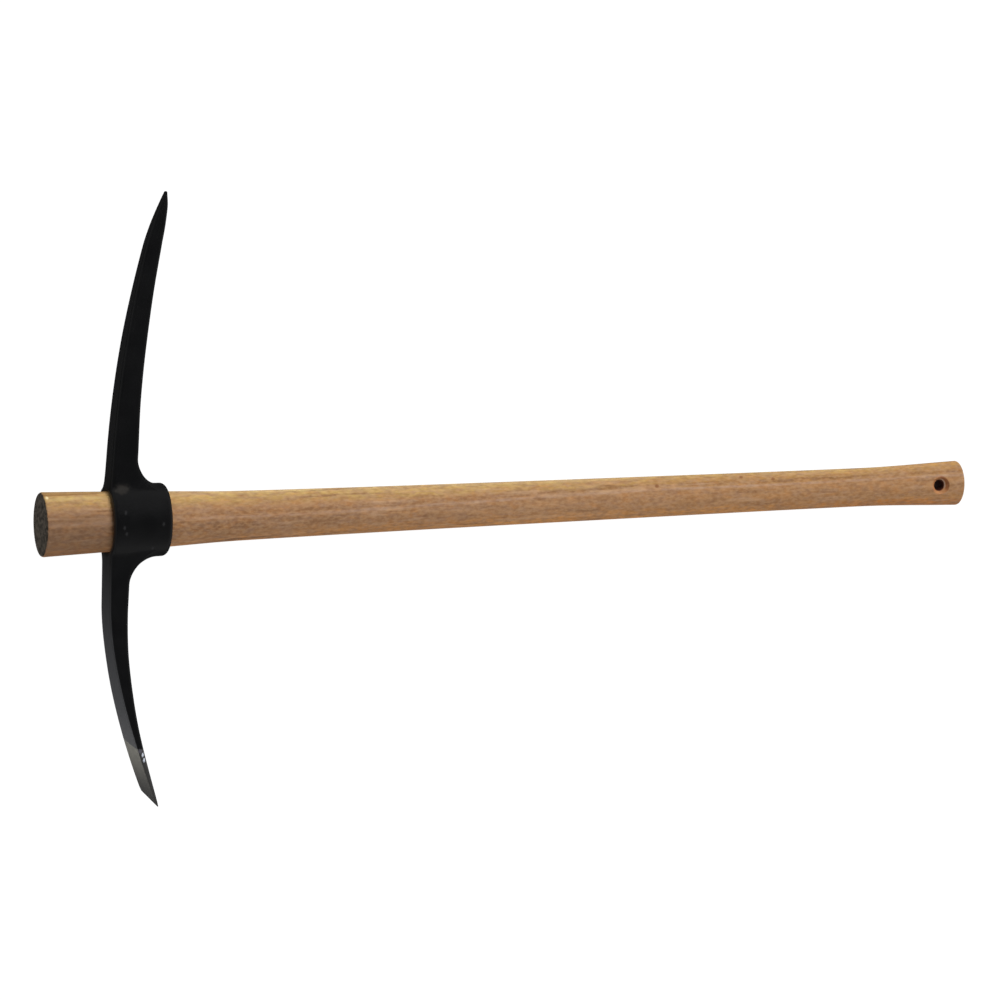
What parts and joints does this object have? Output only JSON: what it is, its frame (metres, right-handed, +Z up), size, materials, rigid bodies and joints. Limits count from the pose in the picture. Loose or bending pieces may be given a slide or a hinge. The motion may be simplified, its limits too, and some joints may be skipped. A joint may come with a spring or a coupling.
{
  "type": "pick axe",
  "caption": "Long-handled digging pick: a forged steel head with a point arm and a chisel arm, its tapered eye seated on an oval hardwood handle that swells at the butt.",
  "frame": {"origin": "middle of the handle's flat butt face, on the handle's axis", "axes": "+X along the handle from the butt to the grip, +Y along the head toward its point, +Z up, square to the plane of the tool, which lies flat"},
  "size_m": [0.896, 0.5305, 0.0548],
  "materials": {
    "oiled_hardwood": "fine sanded and oiled hardwood with straight grain along the handle; the butt's end grain is sealed dark",
    "black_lacquered_steel": "black lacquer over forged steel; the last part of the chisel is ground to bare steel"
  },
  "bodies": {
    "handle": {"handle": "oiled_hardwood"},
    "head": {"head": "black_lacquered_steel"}
  },
  "joints": [
    {"name": "head_slide", "type": "slide", "parent": "handle", "child": "head", "axis": [1, 0, 0], "range_m": [0, 0.845]}
  ]
}
